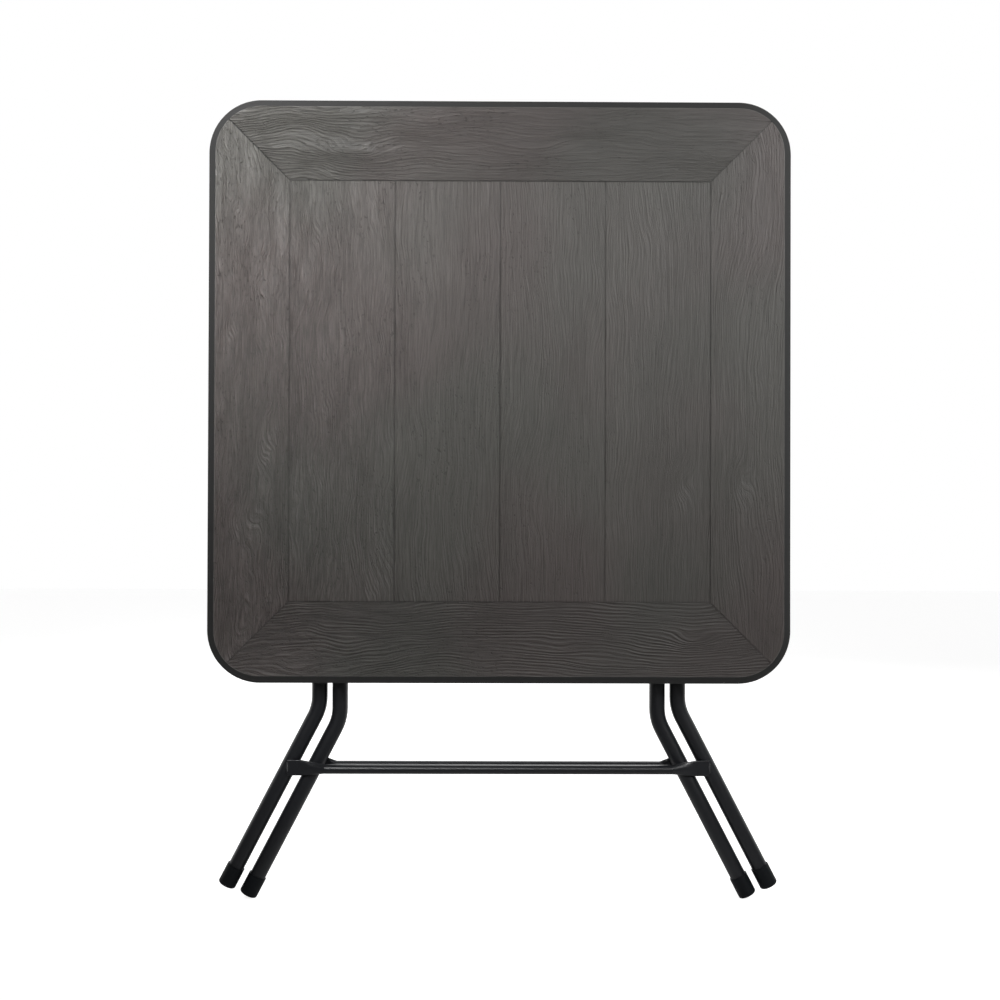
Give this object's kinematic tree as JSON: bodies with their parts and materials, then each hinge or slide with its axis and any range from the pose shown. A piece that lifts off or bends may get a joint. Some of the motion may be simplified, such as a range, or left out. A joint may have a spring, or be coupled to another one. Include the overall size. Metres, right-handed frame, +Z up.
{
  "type": "folding table",
  "caption": "Square folding card table with a moulded wood-grain top on crossed, flared tube legs that fold flat behind it",
  "frame": {"origin": "centre of the bottom of the bounding box, under the feet, with the table folded and upright", "axes": "+X to the viewer's right, +Y to the rear, where the legs are, +Z up; the playing surface faces -Y"},
  "size_m": [0.8, 0.094, 1.106],
  "materials": {
    "top_plastic": "moulded wood grain",
    "frame_paint": "black powder coat",
    "cap_plastic": "satin",
    "slide_plastic": "smooth",
    "zinc": "zinc plated"
  },
  "bodies": {
    "top": {"tabletop": "top_plastic", "support_rail_left": "frame_paint", "support_rail_right": "frame_paint", "hinge_bracket_left": "frame_paint", "hinge_bracket_right": "frame_paint", "hinge_bushing_left": "slide_plastic", "hinge_bushing_right": "slide_plastic", "catch_left": "slide_plastic", "catch_right": "slide_plastic", "bracket_screws": "zinc", "rail_screws": "zinc", "catch_screws": "zinc"},
    "outer_legs": {"outer_leg_tube": "frame_paint", "outer_crossbar": "frame_paint", "outer_foot_cap_left": "cap_plastic", "outer_foot_cap_right": "cap_plastic", "pivot_bolt_left": "zinc", "pivot_bolt_right": "zinc", "pivot_spacer_left": "zinc", "pivot_spacer_right": "zinc"},
    "glides": {"glide_left": "slide_plastic", "glide_right": "slide_plastic"},
    "inner_legs": {"inner_leg_tube": "frame_paint", "inner_crossbar": "frame_paint", "inner_foot_cap_left": "cap_plastic", "inner_foot_cap_right": "cap_plastic", "pivot_nut_left": "zinc", "pivot_nut_right": "zinc"}
  },
  "joints": [
    {"name": "outer_fold", "type": "hinge", "parent": "top", "child": "outer_legs", "pos_m": [0, 0.00398, 0.946], "axis": [1, 0, 0], "range_deg": [0, 47]},
    {"name": "glide_slide", "type": "slide", "parent": "top", "child": "glides", "axis": [0, 0.0597, -0.9982], "range_m": [0, 0.46281]},
    {"name": "inner_fold", "type": "hinge", "parent": "glides", "child": "inner_legs", "pos_m": [0, 0.00398, 0.916], "axis": [1, 0, 0], "range_deg": [0, 134.39]}
  ],
  "couplings": [
    {"joint": "glide_slide", "follows": "outer_fold", "m_per_rad": 0.56414},
    {"joint": "inner_fold", "follows": "outer_fold", "ratio": 2.8592}
  ]
}
